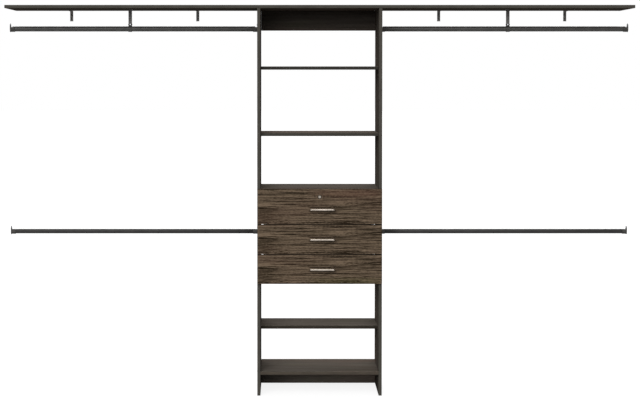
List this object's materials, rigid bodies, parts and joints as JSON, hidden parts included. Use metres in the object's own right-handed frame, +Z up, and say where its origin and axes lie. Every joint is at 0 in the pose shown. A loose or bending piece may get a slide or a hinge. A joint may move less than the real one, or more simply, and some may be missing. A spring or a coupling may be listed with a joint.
{
  "type": "wall mounted closet system",
  "caption": "Closet unit with a shelf tower, drawers with a cam lock, a long top shelf and hanging rods that run from the tower to the side walls.",
  "frame": {"origin": "on the floor, under the centre of the whole unit's box, half-way between the tower's side panels", "axes": "+X to the right seen from the front, along the top shelf and the rods; +Y towards the wall; +Z up; the drawers open towards -Y"},
  "size_m": [3, 0.3926, 1.868],
  "materials": {
    "dark_board": "dark grey-brown melamine board with a faint grain, matt",
    "drawer_wood": "streaked dark wood decor, satin",
    "box_board": "plain dark melamine board, matt",
    "hardboard": "thin hardboard, matt",
    "satin_nickel": "brushed warm nickel",
    "zinc_steel": "zinc plated steel",
    "dark_tube": "dark grey satin tube",
    "dark_steel": "dark grey satin strip",
    "dark_plastic": "dark grey matt plastic"
  },
  "bodies": {
    "frame": {"tower_side_left": "dark_board", "tower_side_right": "dark_board", "base_shelf": "dark_board", "lower_shelf": "dark_board", "chest_top": "dark_board", "middle_shelf": "dark_board", "upper_shelf": "dark_board", "top_back_rail": "dark_board", "base_back_rail": "dark_board", "top_shelf_left": "dark_board", "top_shelf_right": "dark_board", "drawer_1_cabinet_runner_left": "zinc_steel", "drawer_1_cabinet_runner_right": "zinc_steel", "drawer_2_cabinet_runner_left": "zinc_steel", "drawer_2_cabinet_runner_right": "zinc_steel", "drawer_3_cabinet_runner_left": "zinc_steel", "drawer_3_cabinet_runner_right": "zinc_steel", "upper_rod_left": "dark_tube", "upper_rod_right": "dark_tube", "lower_rod_left": "dark_tube", "lower_rod_right": "dark_tube", "upper_rod_wall_end_left": "dark_plastic", "upper_rod_wall_end_right": "dark_plastic", "upper_rod_tower_end_left": "dark_plastic", "upper_rod_tower_end_right": "dark_plastic", "lower_rod_wall_end_left": "dark_plastic", "lower_rod_wall_end_right": "dark_plastic", "lower_rod_tower_end_left": "dark_plastic", "lower_rod_tower_end_right": "dark_plastic", "rod_hanger_left": "dark_steel", "rod_hanger_right": "dark_steel", "wall_bracket_inner_left": "dark_steel", "wall_bracket_inner_right": "dark_steel", "wall_bracket_outer_left": "dark_steel", "wall_bracket_outer_right": "dark_steel"},
    "drawer_1": {"drawer_1_front": "drawer_wood", "drawer_1_side_left": "box_board", "drawer_1_side_right": "box_board", "drawer_1_back": "box_board", "drawer_1_bottom": "hardboard", "drawer_1_handle": "satin_nickel", "drawer_1_box_runner_left": "zinc_steel", "drawer_1_box_runner_right": "zinc_steel"},
    "drawer_2": {"drawer_2_front": "drawer_wood", "drawer_2_side_left": "box_board", "drawer_2_side_right": "box_board", "drawer_2_back": "box_board", "drawer_2_bottom": "hardboard", "drawer_2_handle": "satin_nickel", "drawer_2_box_runner_left": "zinc_steel", "drawer_2_box_runner_right": "zinc_steel"},
    "drawer_3": {"drawer_3_front": "drawer_wood", "drawer_3_side_left": "box_board", "drawer_3_side_right": "box_board", "drawer_3_back": "box_board", "drawer_3_bottom": "hardboard", "drawer_3_handle": "satin_nickel", "drawer_3_box_runner_left": "zinc_steel", "drawer_3_box_runner_right": "zinc_steel"},
    "lock": {"drawer_lock": "satin_nickel"}
  },
  "joints": [
    {"name": "drawer_1_slide", "type": "slide", "parent": "frame", "child": "drawer_1", "axis": [0, -1, 0], "range_m": [0, 0.225]},
    {"name": "drawer_2_slide", "type": "slide", "parent": "frame", "child": "drawer_2", "axis": [0, -1, 0], "range_m": [0, 0.225]},
    {"name": "drawer_3_slide", "type": "slide", "parent": "frame", "child": "drawer_3", "axis": [0, -1, 0], "range_m": [0, 0.225]},
    {"name": "lock_turn", "type": "hinge", "parent": "drawer_1", "child": "lock", "pos_m": [0, -0.15375, 0.9545], "axis": [0, 1, 0], "range_deg": [0, 90]}
  ]
}
